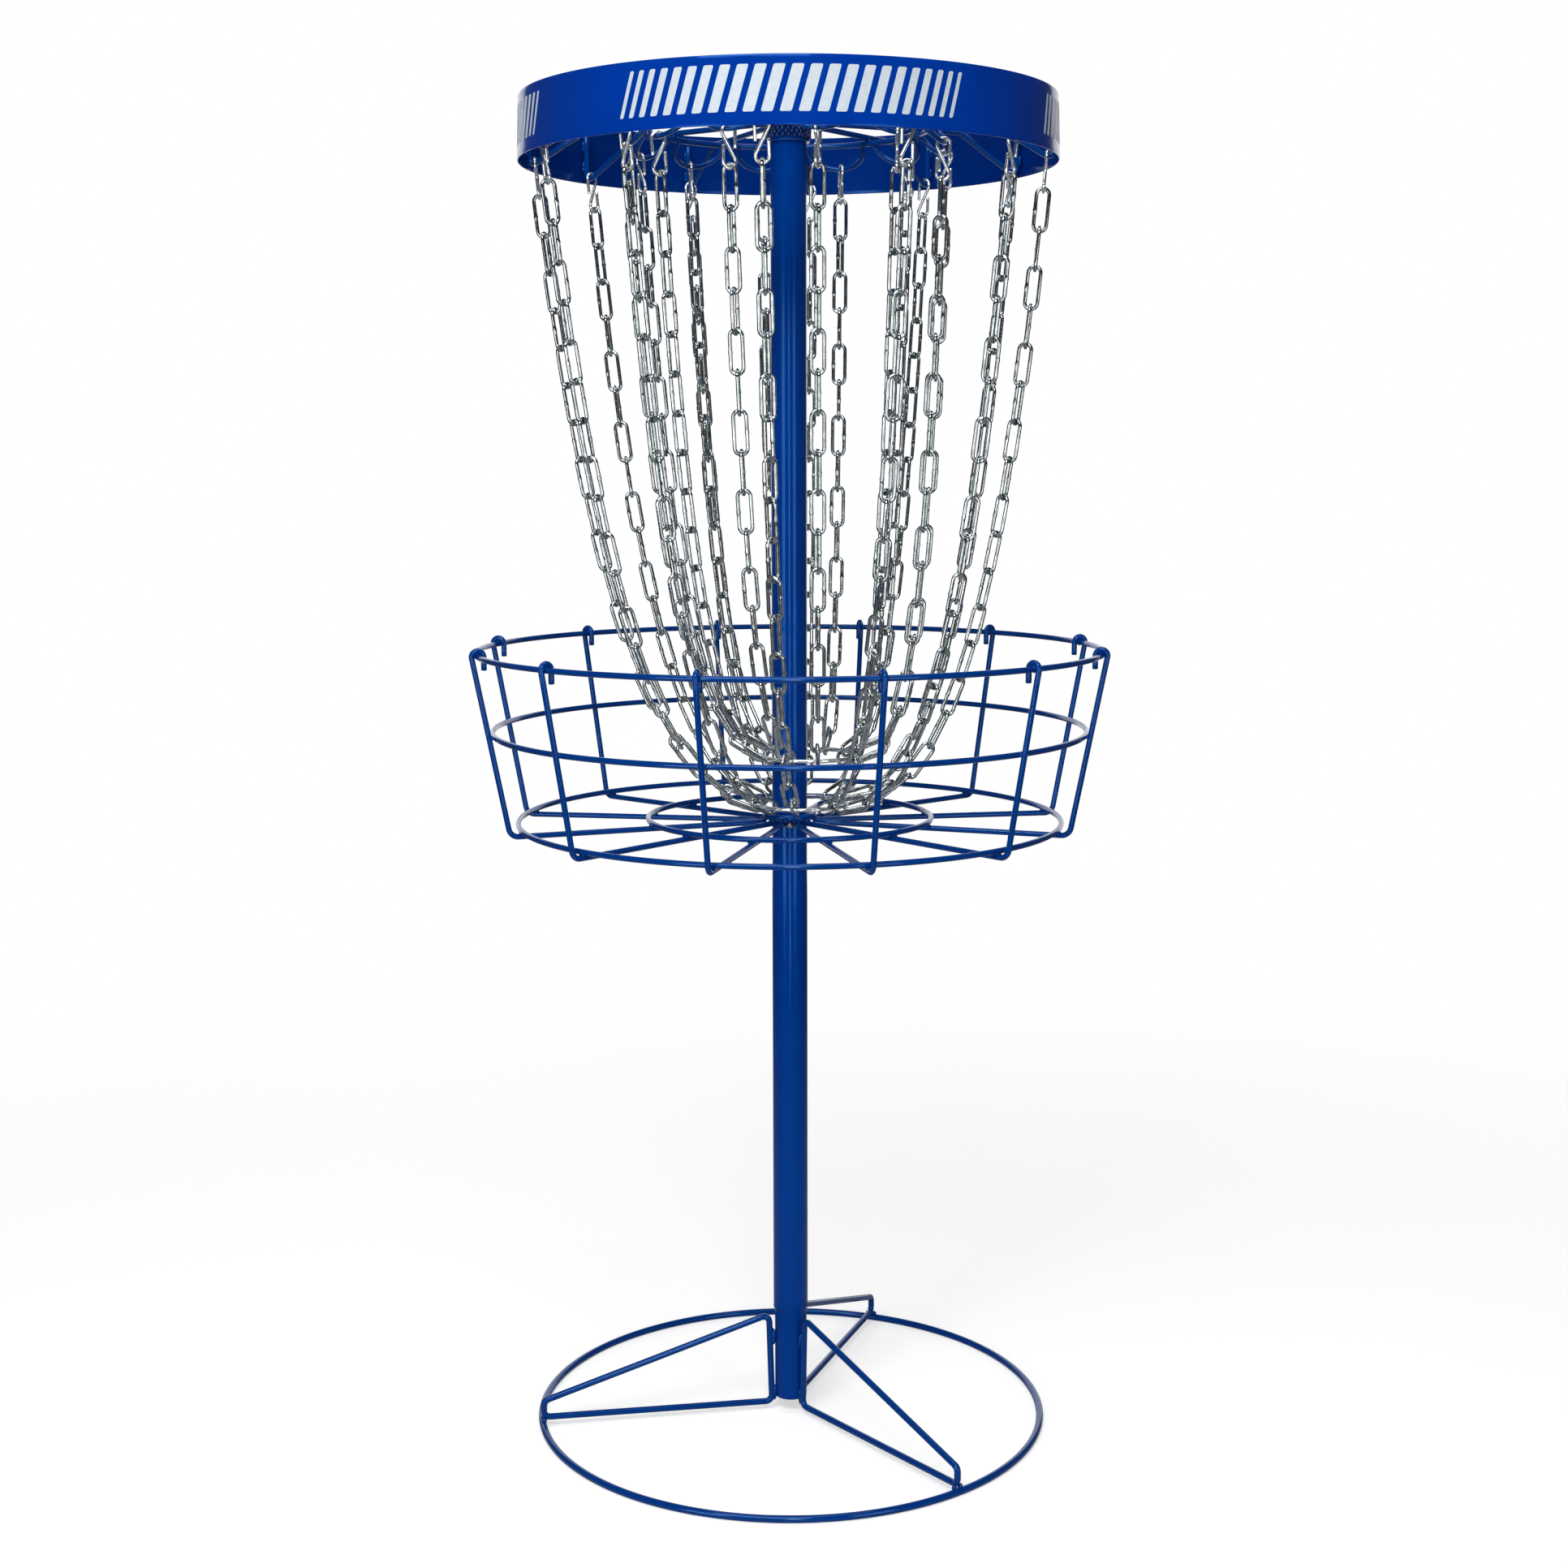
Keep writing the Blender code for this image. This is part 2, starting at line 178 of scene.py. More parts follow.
def tube(points, radius, sides=14, closed=False):
    """Return the points and faces of a round wire along a path, with softly rounded cut ends."""
    points = np.asarray(points, float)
    radii = np.broadcast_to(np.asarray(radius, float), (len(points),)).copy()
    tangents, normals = transported(points, closed)
    if not closed:
        # How far outside the path, and how wide, the rounded end is: in wire radii, outermost first.
        grow = ((-0.30, 0.55), (-0.24, 0.80), (-0.10, 0.95))
        head = [(points[0] + tangents[0] * radii[0] * step, radii[0] * size) for step, size in grow]
        tail = [(points[-1] - tangents[-1] * radii[-1] * step, radii[-1] * size) for step, size in grow[::-1]]
        points = np.array([p for p, _ in head] + list(points) + [p for p, _ in tail])
        radii = np.array([r for _, r in head] + list(radii) + [r for _, r in tail])
        tangents = np.concatenate([np.repeat(tangents[:1], 3, 0), tangents, np.repeat(tangents[-1:], 3, 0)])
        normals = np.concatenate([np.repeat(normals[:1], 3, 0), normals, np.repeat(normals[-1:], 3, 0)])
    binormals = np.cross(tangents, normals)
    turns = np.arange(sides) * math.tau / sides
    circles = (np.cos(turns)[None, :, None] * normals[:, None, :]
               + np.sin(turns)[None, :, None] * binormals[:, None, :])
    verts = (points[:, None, :] + radii[:, None, None] * circles).reshape(-1, 3)
    rows = len(points)
    faces = [(a, d, c, b) for a, b, c, d in grid_faces(rows, sides, wrap=closed)]
    if not closed:
        faces.append(tuple(range(sides))[::-1])
        faces.append(tuple(range((rows - 1) * sides, rows * sides)))
    return verts, faces


def ring_path(radius, height, centre=(0.0, 0.0), steps=192):
    """Return the points of a level circle."""
    turns = np.arange(steps) * math.tau / steps
    return np.stack([centre[0] + radius * np.cos(turns), centre[1] + radius * np.sin(turns),
                     np.full(steps, height)], axis=1)


def rounded(corners, bend, steps=8, closed=False, spacing=0.02):
    """Return the path through flat corners, each rounded by an arc, with even steps between the arcs."""
    path = []
    count = len(corners)
    for index, corner in enumerate(corners):
        here = np.array(corner, float)
        if not closed and index in (0, count - 1):
            path.append(here)
            continue
        before = unit(np.array(corners[index - 1], float) - here)
        after = unit(np.array(corners[(index + 1) % count], float) - here)
        half = math.acos(np.clip(np.dot(before, after), -1, 1)) / 2
        setback = bend / math.tan(half)
        centre = here + unit(before + after) * (bend / math.sin(half))
        first = here + before * setback - centre
        last = here + after * setback - centre
        angle = math.pi - 2 * half
        for step in range(steps + 1):
            share = step / steps
            mix = (math.sin((1 - share) * angle) * first + math.sin(share * angle) * last) / math.sin(angle)
            path.append(centre + mix)
    filled = []
    for index, point in enumerate(path):
        filled.append(point)
        if index == len(path) - 1 and not closed:
            break
        nxt = path[(index + 1) % len(path)]
        pieces = int(np.linalg.norm(nxt - point) // spacing)
        filled.extend(point + (nxt - point) * part / (pieces + 1) for part in range(1, pieces + 1))
    return filled


def upright(path, degrees):
    """Place flat (radius, height) points in the upright plane at an angle round the axis."""
    angle = math.radians(degrees)
    return np.array([(r * math.cos(angle), r * math.sin(angle), z) for r, z in path])


def polar_point(radius, height, degrees):
    """Return the point at a distance from the axis, a height and an angle round the axis."""
    return upright([(radius, height)], degrees)[0]


def lathe(profile, steps=96):
    """Return the points and faces of a closed (radius, height) profile turned round the Z axis."""
    turns = np.arange(steps) * math.tau / steps
    radii = np.array([p[0] for p in profile])
    heights = np.array([p[1] for p in profile])
    x = np.cos(turns)[:, None] * radii[None, :]
    y = np.sin(turns)[:, None] * radii[None, :]
    z = np.broadcast_to(heights, x.shape)
    verts = np.stack([x, y, z], axis=2).reshape(-1, 3)
    return verts, grid_faces(steps, len(profile), wrap=True)


def wall_profile(inner, outer, low, high, bevel):
    """Return the rounded section of a tube wall, counter-clockwise seen from +Y."""
    corners = [(inner, low), (outer, low), (outer, high), (inner, high)]
    return [tuple(p) for p in rounded(corners, bevel, steps=3, closed=True, spacing=0.01)]


# ---- reading the frame ---------------------------------------------------------------------------
def node_points(node):
    """Return the corner points of a CAD node."""
    return np.array([v.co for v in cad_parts[node].data.vertices], float)


def ring_of(node):
    """Return the middle, the height, the radius and the wire radius of a CAD ring."""
    points = node_points(node)
    low, high = points.min(0), points.max(0)
    middle = (low + high) / 2
    reach = np.hypot(points[:, 0] - middle[0], points[:, 1] - middle[1])
    return (middle[0], middle[1]), middle[2], (reach.max() + reach.min()) / 2, (high[2] - low[2]) / 2


def tube_of(node):
    """Return the inner radius, outer radius, bottom and top of a CAD tube."""
    points = node_points(node)
    reach = np.hypot(points[:, 0], points[:, 1])
    return reach.min(), reach.max(), points[:, 2].min(), points[:, 2].max()


def direction_of(node):
    """Return the angle in degrees, round the axis, at which a CAD node reaches furthest out."""
    points = node_points(node)
    reach = np.hypot(points[:, 0], points[:, 1])
    far = points[reach > reach.max() - 0.004].mean(0)
    return math.degrees(math.atan2(far[1], far[0]))


def put(obj, body, slot, *nodes):
    """Let an object ride on a body and stand for CAD nodes; the slot argument is not used."""
    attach(obj, body)
    if nodes:
        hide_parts(*nodes)
    return obj


# ---- materials ------------------------------------------------------------------------------------
def new_material(name):
    """Return a material's node tree helpers: the material, its nodes, its links and its shader."""
    material = bpy.data.materials.new(name)
    material.use_nodes = True
    tree = material.node_tree
    return material, tree.nodes, tree.links, tree.nodes["Principled BSDF"]


def noise_node(nodes, links, scale, detail, rough=0.5):
    """Add a noise texture in object coordinates and return its value output."""
    place = nodes.new("ShaderNodeTexCoord")
    noise = nodes.new("ShaderNodeTexNoise")
    noise.inputs["Scale"].default_value = scale
    noise.inputs["Detail"].default_value = detail
    noise.inputs["Roughness"].default_value = rough
    links.new(place.outputs["Object"], noise.inputs["Vector"])
    return noise.outputs["Fac"]


def ramp_node(nodes, links, source, stops):
    """Add a colour ramp with (position, colour) stops and return its colour output."""
    ramp = nodes.new("ShaderNodeValToRGB")
    elements = ramp.color_ramp.elements
    while len(elements) < len(stops):
        elements.new(0.5)
    for element, (position, colour) in zip(elements, stops):
        element.position = position
        element.color = (*colour, 1.0)
    links.new(source, ramp.inputs["Fac"])
    return ramp.outputs["Color"]


def range_node(nodes, links, source, low, high, from_low=0.3, from_high=0.7):
    """Map a value to a new range and return the output."""
    remap = nodes.new("ShaderNodeMapRange")
    remap.inputs["From Min"].default_value = from_low
    remap.inputs["From Max"].default_value = from_high
    remap.inputs["To Min"].default_value = low
    remap.inputs["To Max"].default_value = high
    links.new(source, remap.inputs["Value"])
    return remap.outputs["Result"]


def bump_node(nodes, links, source, height, shader, inputs=("Normal",)):
    """Bump a shader's normals with a value; the height is in metres."""
    bump = nodes.new("ShaderNodeBump")
    bump.inputs["Strength"].default_value = 1.0
    bump.inputs["Distance"].default_value = height
    links.new(source, bump.inputs["Height"])
    for name in inputs:
        links.new(bump.outputs["Normal"], shader.inputs[name])


def powder_coat(name, green, blue, gloss_layer=0.09):
    """Glossy blue powder coat: fine orange peel, slightly uneven film and gloss."""
    material, nodes, links, shader = new_material(name)
    film = noise_node(nodes, links, scale=14.0, detail=3.0)
    thin, thick = (0.0, 0.92 * green, 0.93 * blue), (0.0, 1.08 * green, 1.07 * blue)
    colour = ramp_node(nodes, links, film, [(0.30, thin), (0.70, thick)])
    links.new(colour, shader.inputs["Base Color"])
    gloss = noise_node(nodes, links, scale=60.0, detail=2.0)
    links.new(range_node(nodes, links, gloss, low=0.12, high=0.20), shader.inputs["Roughness"])
    shader.inputs["Specular IOR Level"].default_value = 0.50
    shader.inputs["Specular Tint"].default_value = (0.08, 0.42, 1.0, 1.0)
    shader.inputs["Coat Weight"].default_value = gloss_layer
    links.new(range_node(nodes, links, gloss, low=0.04, high=0.09), shader.inputs["Coat Roughness"])
    peel = noise_node(nodes, links, scale=420.0, detail=2.0)
    bump_node(nodes, links, peel, PEEL_HEIGHT, shader, ("Normal", "Coat Normal"))
    return material


def zinc(name, bright, warm, rough, metallic=1.0):
    """Zinc plate, stained from bright to warm, on drawn and slightly knocked wire."""
    material, nodes, links, shader = new_material(name)
    shader.inputs["Metallic"].default_value = metallic
    stain = noise_node(nodes, links, scale=90.0, detail=4.0, rough=0.6)
    links.new(ramp_node(nodes, links, stain, [(0.34, warm), (0.66, bright)]), shader.inputs["Base Color"])
    haze = noise_node(nodes, links, scale=260.0, detail=3.0)
    links.new(range_node(nodes, links, haze, low=rough, high=rough + 0.12), shader.inputs["Roughness"])
    knocks = noise_node(nodes, links, scale=480.0, detail=2.0)
    bump_node(nodes, links, knocks, KNOCK_HEIGHT, shader)
    return material


def white_print():
    """White screen print on the band: nearly matt, with a thin uneven ink film."""
    material, nodes, links, shader = new_material("white_print")
    film = noise_node(nodes, links, scale=220.0, detail=3.0)
    links.new(ramp_node(nodes, links, film, [(0.3, (0.60, 0.68, 0.76)), (0.7, (0.66, 0.74, 0.82))]),
              shader.inputs["Base Color"])
    links.new(range_node(nodes, links, film, low=0.36, high=0.48), shader.inputs["Roughness"])
    bump_node(nodes, links, noise_node(nodes, links, scale=900.0, detail=2.0), PEEL_HEIGHT, shader)
    return material


BLUE = powder_coat("blue_powder_coat", green=0.039, blue=0.270)
# Darker copy of the same blue coat for the wires and their welds: painted shade, so the thin wires read
# darker than the pole.
SHADED_WIRE_BLUE = powder_coat("blue_wire_coat_painted_shade", green=0.038, blue=0.230, gloss_layer=0.28)
# Much darker copy of the blue coat for the welds round the hub: painted shade under the band, with a strong
# gloss layer for sparkle.
SHADED_WELD_BLUE = powder_coat("blue_weld_coat_painted_shade", green=0.014, blue=0.110, gloss_layer=0.80)
# Lighter copy of the blue coat for the band's sheet and its lap: painted light on the band.
LIT_SHEET_BLUE = powder_coat("blue_sheet_coat_painted_light", green=0.039, blue=0.350)
# Darker copy of the blue coat for the band's inner faces: painted shade inside the band.
SHADED_INSIDE_BLUE = powder_coat("blue_inside_coat_painted_shade", green=0.022, blue=0.185)
CHAIN = zinc("zinc_chain", bright=(0.70, 0.75, 0.78), warm=(0.33, 0.37, 0.37), rough=0.05)
# Zinc for the S hooks and loose rings, brighter than the chain's and only partly metallic: painted light, so
# the hooks under the band look lit.
LIT_HOOK_ZINC = zinc("zinc_hook_painted_light", bright=(0.92, 0.96, 0.98), warm=(0.82, 0.87, 0.88), rough=0.08, metallic=0.86)
BOLT = zinc("zinc_bolt", bright=(0.42, 0.44, 0.45), warm=(0.30, 0.32, 0.32), rough=0.28)
WHITE = white_print()


# ---- welds and wires ------------------------------------------------------------------------------
def bead(shape, centre, size, rng):
    """Add a small uneven weld bead; the size is half its height and half its width."""
    rows, sides = 7, 10
    along = np.array((0.0, 0.0, 1.0))
    side = unit(np.cross(along, (0.37, 0.81, 0.45)))
    third = np.cross(along, side)
    verts = []
    for row in range(rows):
        polar = math.pi * (row + 0.5) / rows
        for k in range(sides):
            turn = math.tau * k / sides
            reach = np.array([math.cos(polar) * size[0], math.sin(polar) * math.cos(turn) * size[1],
                              math.sin(polar) * math.sin(turn) * size[1]]) * rng.uniform(0.90, 1.10)
            verts.append(centre + along * reach[0] + side * reach[1] + third * reach[2])
    faces = grid_faces(rows, sides)
    faces.append(tuple(range(sides)))
    faces.append(tuple(range((rows - 1) * sides, rows * sides))[::-1])
    shape.add(verts, faces)


def bead_pair(shape, radius, height, degrees, swing, size, rng):
    """Add a weld bead on either side of an upright plane at an angle; the swing to each is in degrees."""
    for turn in (-swing, swing):
        bead(shape, polar_point(radius, height, degrees + turn), size, rng)


def wire_object(name, path, radius, body, nodes, sides=14, closed=False):
    """Make one wire piece that stands for CAD nodes."""
    shape = Shape()
    shape.add(*tube(path, radius, sides=sides, closed=closed))
    return put(shape.build(name, SHADED_WIRE_BLUE), body, "blue_powder_coat", *nodes)


def ring_object(node, body, sides=16, steps=240):
    """Make the fine ring that stands for a CAD ring of blue wire."""
    centre, height, radius, wire = ring_of(node)
    return wire_object(node + "_wire", ring_path(radius, height, centre, steps), wire, body, [node],
                       sides=sides, closed=True)


# ---- foot -----------------------------------------------------------------------------------------
def make_foot():
    """Ground ring, stub tube, three leg loops and their welds."""
    rng = random.Random(11)
    ring_object("base_ring", "foot", sides=20)
    _, _, _, ring_wire = ring_of("base_ring")
    inner, outer, low, high = tube_of("base_stub")
    shape = Shape()
    shape.add(*lathe(wall_profile(inner, outer, low, high, bevel=0.0005)))
    put(shape.build("base_stub_tube", BLUE), "foot", "blue_powder_coat", "base_stub")
    welds = Shape()
    seam_above_heel, seam_below_top = 0.010, 0.026
    for number in (1, 2, 3):
        node = f"base_leg_{number}"
        points = node_points(node)
        reach = np.hypot(points[:, 0], points[:, 1])
        near = outer + LEG_WIRE + GAP
        far = reach.max() - LEG_WIRE
        top = points[:, 2].max() - LEG_WIRE
        heel = points[:, 2].min() + LEG_WIRE
        toe = 2 * ring_wire + LEG_WIRE + GAP
        angle = direction_of(node)
        corners = [(near + LEG_LEAN, top), (near, heel), (far, toe), (far, LEG_TOE_TOP)]
        path = rounded(corners, LEG_BEND, closed=True)
        wire_object(node + "_wire", upright(path, angle), LEG_WIRE, "foot", [node], sides=16, closed=True)
        for height in (heel + seam_above_heel, top - seam_below_top):
            lean = LEG_LEAN * (height - heel) / (top - heel)
            stub_bead = (0.0085, 0.0021 + lean * 0.4)
            bead_pair(welds, outer + 0.0008 + lean * 0.6, height, angle, 5.0, stub_bead, rng)
        ring_bead = (0.0030, 0.0030)
        bead_pair(welds, far, toe - LEG_WIRE * 0.75, angle, 0.80, ring_bead, rng)
    put(welds.build("foot_welds", SHADED_WIRE_BLUE), "foot", "blue_powder_coat")


# ---- pole -----------------------------------------------------------------------------------------
def bolt_height():
    """Height of the bolt's axis."""
    low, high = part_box("basket_bolt")
    return (low.z + high.z) / 2


def hexagon(radius, limit, steps):
    """Return how far a hexagon reaches at even turns, cut back to a circle."""
    reach = []
    for k in range(steps):
        turn = (math.tau * k / steps + math.pi / 6) % (math.pi / 3) - math.pi / 6
        reach.append(min(radius * math.cos(math.pi / 6) / math.cos(turn), limit))
    return reach


def make_nut():
    """Hexagon nut along Y with chamfered corners and a round hole."""
    low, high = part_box("basket_bolt_nut")
    steps = 48
    chamfer = 0.0007
    thick = high.y - low.y
    hole = [BOLT_HOLE] * steps
    edge, bevel, full = (hexagon(NUT_RADIUS, NUT_RADIUS * share, steps) for share in (0.90, 0.96, 1.0))
    rows = [(hole, 0.0), (edge, 0.0), (bevel, chamfer * 0.4), (full, chamfer), (full, thick - chamfer),
            (bevel, thick - chamfer * 0.4), (edge, thick), (hole, thick)]
    height = bolt_height()
    verts = []
    for reach, depth in rows:
        for k in range(steps):
            turn = math.tau * k / steps + math.pi / 6
            verts.append((reach[k] * math.cos(turn), low.y + depth, height + reach[k] * math.sin(turn)))
    nut = Shape()
    nut.add(verts, grid_faces(len(rows), steps, wrap=True))
    put(nut.build("basket_bolt_nut_fine", BOLT, 35), "pole_body", "zinc", "basket_bolt_nut")


def make_bolt(pole_radius):
    """Bolt along Y: a small domed head and two washers in front of the pole, and a threaded shank."""
    low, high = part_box("basket_bolt")
    height = bolt_height()
    crown = low.y + 0.0004
    crown_radius = 0.0009
    dome = 0.0024
    head_end = low.y + 0.0036
    path = [(0.0, crown, height)]
    radii = [crown_radius]
    dome_steps = 8
    for step in range(1, dome_steps + 1):
        turn = math.pi / 2 * step / dome_steps
        path.append((0.0, crown + dome * (1 - math.cos(turn)), height))
        radii.append(crown_radius + dome * math.sin(turn))
    path.append((0.0, head_end, height))
    radii.append(crown_radius + dome)
    bolt = Shape()
    bolt.add(*tube(path, radii, sides=32))
    thick = (-pole_radius - GAP - head_end) / 2
    for washer, washer_radius in enumerate(WASHERS):
        start = head_end + washer * thick
        bolt.add(*tube([(0.0, start, height), (0.0, start + thick, height)], washer_radius, sides=32))
    thread = []
    radii = []
    steps = 150
    for step in range(steps + 1):
        along = head_end - 0.0002 + (high.y - head_end) * step / steps
        thread.append((0.0, along, height))
        groove = step % 2 and along > pole_radius  # only the end behind the pole shows its thread
        radii.append(BOLT_SHANK - (THREAD_DEPTH if groove else 0.0))
    bolt.add(*tube(thread, radii, sides=20))
    put(bolt.build("basket_bolt_fine", BOLT, 35), "pole_body", "zinc", "basket_bolt")


def make_pole():
    """Pole tube, and the bolt and nut that carry the basket."""
    inner, outer, low, high = tube_of("pole")
    shape = Shape()
    shape.add(*lathe(wall_profile(inner, outer, low, high, bevel=0.0003)))
    put(shape.build("pole_tube", BLUE), "pole_body", "blue_powder_coat", "pole")
    make_bolt(outer)
    make_nut()


# ---- basket ---------------------------------------------------------------------------------------
def make_basket():
    """Collar, four rings, twelve bent wires and their welds."""
    rng = random.Random(23)
    _, rim_height, rim_radius, wire = ring_of("basket_rim_ring")
    _, middle_height, middle_radius, _ = ring_of("basket_middle_ring")
    _, collar_height, collar_radius, collar_wire = ring_of("basket_collar")
    _, floor_ring_height, floor_radius, _ = ring_of("basket_floor_ring")
    _, inner_ring_height, inner_radius, _ = ring_of("basket_inner_ring")
    for node in ("basket_rim_ring", "basket_middle_ring", "basket_floor_ring", "basket_inner_ring"):
        ring_object(node, "basket")
    ring_object("basket_collar", "basket", sides=20, steps=96)
    hook = 2 * wire + GAP
    slope = (rim_radius - middle_radius) / (rim_height - middle_height)
    centre_height = collar_height - collar_wire - wire - GAP
    corner_height = centre_height - FLOOR_RISE
    corner = middle_radius + hook + slope * (corner_height - middle_height)
    corners = [(FLOOR_WIRE_START, centre_height), (corner, corner_height), (rim_radius + hook, rim_height)]
    path = rounded(corners, CORNER_BEND)
    hook_steps = 12
    for step in range(1, hook_steps + 1):
        turn = math.pi * step / hook_steps
        path.append(np.array((rim_radius + hook * math.cos(turn), rim_height + hook * math.sin(turn))))
    for drop in (HOOK_TAIL / 2, HOOK_TAIL):
        path.append(np.array((rim_radius - hook, rim_height - drop)))
    welds = Shape()
    small = (0.0021, 0.0021)
    for number in range(1, STRANDS + 1):
        node = f"basket_wire_{number:02d}"
        angle = direction_of(node)
        wire_object(node + "_fine", upright(path, angle), wire, "basket", [node], sides=14)
        bead_pair(welds, collar_radius + 0.0015, collar_height - collar_wire, angle, 4.0, small, rng)
        for radius, height in ((inner_radius, inner_ring_height - hook / 2),
                               (floor_radius, floor_ring_height - hook / 2),
                               (middle_radius + hook / 2, middle_height)):
            bead_pair(welds, radius, height, angle, math.degrees(0.0019 / radius), small, rng)
        bead(welds, polar_point(rim_radius, rim_height + wire * 0.2, angle), (0.0040, 0.0036), rng)
    put(welds.build("basket_welds", SHADED_WIRE_BLUE), "basket", "blue_powder_coat")


# ---- top ------------------------------------------------------------------------------------------
def band_facts():
    """Return the heights of the band's lower and upper edges, and its outer radius at each."""
    points = node_points("top_band")
    reach = np.hypot(points[:, 0], points[:, 1])
    low, high = (corner.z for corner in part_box("top_band"))
    wide = reach[points[:, 2] < low + 0.001].max()
    narrow = reach[points[:, 2] > high - 0.001].max()
    return (low, high), (wide, narrow)


BAND_ENDS, BAND_RADII = band_facts()


def band_radius(height):
    """Outer radius of the slightly conical band at a height."""
    share = (height - BAND_ENDS[0]) / (BAND_ENDS[1] - BAND_ENDS[0])
    return BAND_RADII[0] + (BAND_RADII[1] - BAND_RADII[0]) * share


def make_band():
    """Rolled sheet band with rounded edges and a lapped seam at the back."""
    low, high = BAND_ENDS
    wide, narrow = BAND_RADII
    corners = [(wide - SHEET, low), (wide, low), (narrow, high), (narrow - SHEET, high)]
    profile = [tuple(p) for p in rounded(corners, SHEET * 0.4, steps=3, closed=True, spacing=0.004)]
    shape = Shape()
    shape.add(*lathe(profile, steps=360))
    band = shape.build("top_band_sheet", LIT_SHEET_BLUE)
    band.data.materials.append(SHADED_INSIDE_BLUE)
    for face in band.data.polygons:  # the faces that look at the axis get the darker inside copy of the coat: painted shade inside the band
        if face.normal.xy.dot(face.center.xy.normalized()) < -0.5:
            face.material_index = 1
    put(band, "top", "blue_powder_coat", "top_band")
    lap = Shape()
    lap_angle, lap_width, edge_gap, corner, thickness = 84.6, 0.022, 0.0006, 0.0006, 0.0011
    curved_plate(lap, lap_angle, lap_width, low + edge_gap, high - edge_gap, 0.0, corner, thickness)
    put(lap.build("top_band_lap", LIT_SHEET_BLUE), "top", "blue_powder_coat")


def curved_plate(shape, degrees, width, low, high, slant, corner, thickness):
    """Add a thin rounded plate that follows the band's outside; the slant is its lean over its height."""
    columns, rows = 4, 18
    lift = 0.00005
    height = high - low
    ramp = [corner * (1 - math.cos(math.pi / 2 * k / 5)) for k in range(6)]
    levels = ramp + [corner + (height - 2 * corner) * k / (rows - 11) for k in range(1, rows - 11)]
    levels += [height - value for value in ramp[::-1]]
    front, back = [], []
    for level in levels:
        edge = min(level, height - level)
        cut = corner - math.sqrt(max(corner ** 2 - (corner - min(edge, corner)) ** 2, 0.0))
        z = low + level
        outer = band_radius(z) + lift
        for column in range(columns + 1):
            share = column / columns * 2 - 1
            along = share * (width / 2 - cut) + slant * (level / height - 0.5)
            turn = math.radians(degrees) + along / outer
            for radius, target in ((outer + thickness, front), (outer, back)):
                target.append((radius * math.cos(turn), radius * math.sin(turn), z))
    count = len(levels)
    wide = columns + 1
    size = count * wide
    faces = []
    for row in range(count - 1):
        for column in range(columns):
            a = row * wide + column
            faces.append((a, a + 1, a + wide + 1, a + wide))
            faces.append((size + a, size + a + wide, size + a + wide + 1, size + a + 1))
    rim = ([k for k in range(wide)] + [row * wide + columns for row in range(1, count)]
           + [(count - 1) * wide + k for k in range(columns - 1, -1, -1)]
           + [row * wide for row in range(count - 2, 0, -1)])
    for here, nxt in zip(rim, rim[1:] + rim[:1]):
        faces.append((here, size + here, size + nxt, nxt))
    shape.add(front + back, faces)


def make_band_print():
    """Plain slanted bars in white, on the front and on both sides of the band."""
    middle = (BAND_ENDS[0] + BAND_ENDS[1]) / 2 + 0.0015
    narrowest, swell, space = 0.0035, 0.0075, 0.0062
    slant, corner, ink = 0.012, 0.0016, 0.00012
    for name, degrees, bars, height in (("front", 270.6, 23, 0.042), ("left", 181.5, 18, 0.040),
                                        ("right", 1.5, 18, 0.040)):
        shape = Shape()
        widths = [narrowest + swell * math.sin(math.pi * (k + 0.5) / bars) for k in range(bars)]
        at = -(sum(widths) + space * (bars - 1)) / 2
        for width in widths:
            turn = degrees + math.degrees((at + width / 2) / BAND_RADII[0])
            curved_plate(shape, turn, width, middle - height / 2, middle + height / 2, slant, corner, ink)
            at += width + space
        put(shape.build("band_print_" + name, WHITE, 40), "top", "blue_powder_coat")


def hang_point(node):
    """Return the direction in degrees and the distance from the axis at which a chain hangs."""
    points = node_points(node)
    top = points[points[:, 2] > points[:, 2].max() - 0.003].mean(0)
    return math.degrees(math.atan2(top[1], top[0])), math.hypot(top[0], top[1])


def hanger_facts():
    """Return the hanger ring's radius and height and the height of its loops' lowest wire."""
    points = node_points("inner_hanger_ring")
    reach = np.hypot(points[:, 0], points[:, 1])
    return {"radius": reach.min() + WIRE / math.cos(math.pi / 6), "height": points[:, 2].max() - WIRE,
            "loop_height": points[:, 2].min() + LOOP_WIRE}


HANGER = hanger_facts()


def hub_facts():
    """Return the hub cap's bottom, its top and its outer radius."""
    points = node_points("top_spider")
    hub = points[np.hypot(points[:, 0], points[:, 1]) < HUB_REACH]
    low, high = hub[:, 2].min(), hub[:, 2].max()
    foot = hub[hub[:, 2] < low + 0.0005]
    return low, high, np.hypot(foot[:, 0], foot[:, 1]).max()


def add_hub(shape, low, high, outer):
    """Add the hub cap, which is closed above the pole's end."""
    _, _, _, pole_top = tube_of("pole")
    bore = outer - HUB_WALL
    pinhole = 0.0004
    ceiling = pole_top + GAP
    corners = [(bore, low), (outer, low), (outer, high), (pinhole, high), (pinhole, ceiling), (bore, ceiling)]
    shape.add(*lathe([tuple(p) for p in rounded(corners, bend=0.0003, steps=3, closed=True, spacing=0.01)]))


